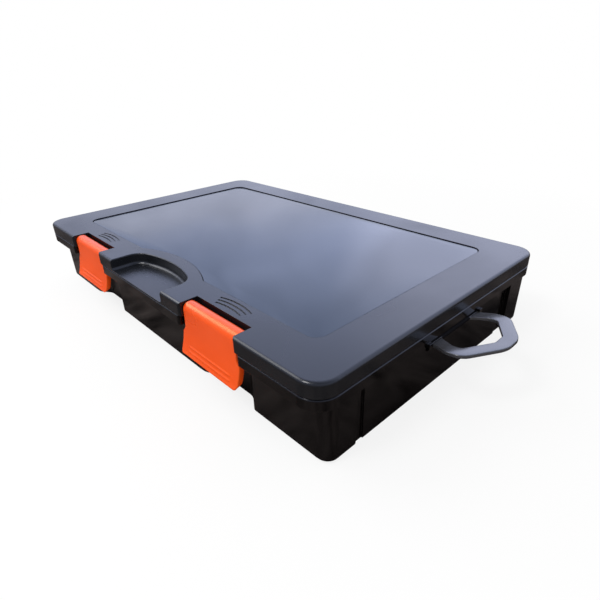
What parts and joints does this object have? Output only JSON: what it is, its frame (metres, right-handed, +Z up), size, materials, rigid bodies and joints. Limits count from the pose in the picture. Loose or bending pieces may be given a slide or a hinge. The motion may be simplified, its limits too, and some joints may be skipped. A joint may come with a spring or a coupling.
{
  "type": "fishing tackle box",
  "caption": "Flat hand-carried tackle box with a slotted tray, a hinged lid with a smoked window, snap latches, loose dividers and a fold-away hanging loop.",
  "frame": {"origin": "middle of the flat underside, on the table", "axes": "+X to the right along the latch side, +Y from the latches to the hinges, +Z up"},
  "size_m": [0.3911, 0.2371, 0.056],
  "materials": {
    "tray_plastic": "glossy injection-moulded black",
    "lid_plastic": "fine satin moulded black",
    "smoked_window": "polished smoked clear plastic",
    "latch_plastic": "satin orange",
    "loop_plastic": "satin black",
    "divider_plastic": "satin dark grey",
    "pin_steel": "drawn steel"
  },
  "bodies": {
    "tray": {"base_tray": "tray_plastic", "hinge_pin_left": "pin_steel", "hinge_pin_right": "pin_steel", "divider_front_1": "divider_plastic", "divider_front_2": "divider_plastic", "divider_front_3": "divider_plastic", "divider_front_4": "divider_plastic", "divider_middle_1": "divider_plastic", "divider_middle_2": "divider_plastic", "divider_middle_3": "divider_plastic", "divider_middle_4": "divider_plastic", "divider_back_1": "divider_plastic", "divider_back_2": "divider_plastic", "divider_back_3": "divider_plastic", "divider_back_4": "divider_plastic"},
    "lid": {"lid_frame": "lid_plastic", "lid_window": "smoked_window", "latch_pin_left": "pin_steel", "latch_pin_right": "pin_steel"},
    "latch_left": {"latch_left": "latch_plastic"},
    "latch_right": {"latch_right": "latch_plastic"},
    "hanger": {"hanger": "loop_plastic"}
  },
  "joints": [
    {"name": "lid_hinge", "type": "hinge", "parent": "tray", "child": "lid", "pos_m": [0, 0.1176, 0.0464], "axis": [-1, 0, 0], "range_deg": [0, 180]},
    {"name": "latch_left_hinge", "type": "hinge", "parent": "lid", "child": "latch_left", "pos_m": [-0.0876, -0.1073, 0.05105], "axis": [-1, 0, 0], "range_deg": [0, 120]},
    {"name": "latch_right_hinge", "type": "hinge", "parent": "lid", "child": "latch_right", "pos_m": [0.0876, -0.1073, 0.05105], "axis": [-1, 0, 0], "range_deg": [0, 120]},
    {"name": "hanger_hinge", "type": "hinge", "parent": "tray", "child": "hanger", "pos_m": [0.1774, 0.0033, 0.0374], "axis": [0, 1, 0], "range_deg": [0, 96]}
  ]
}
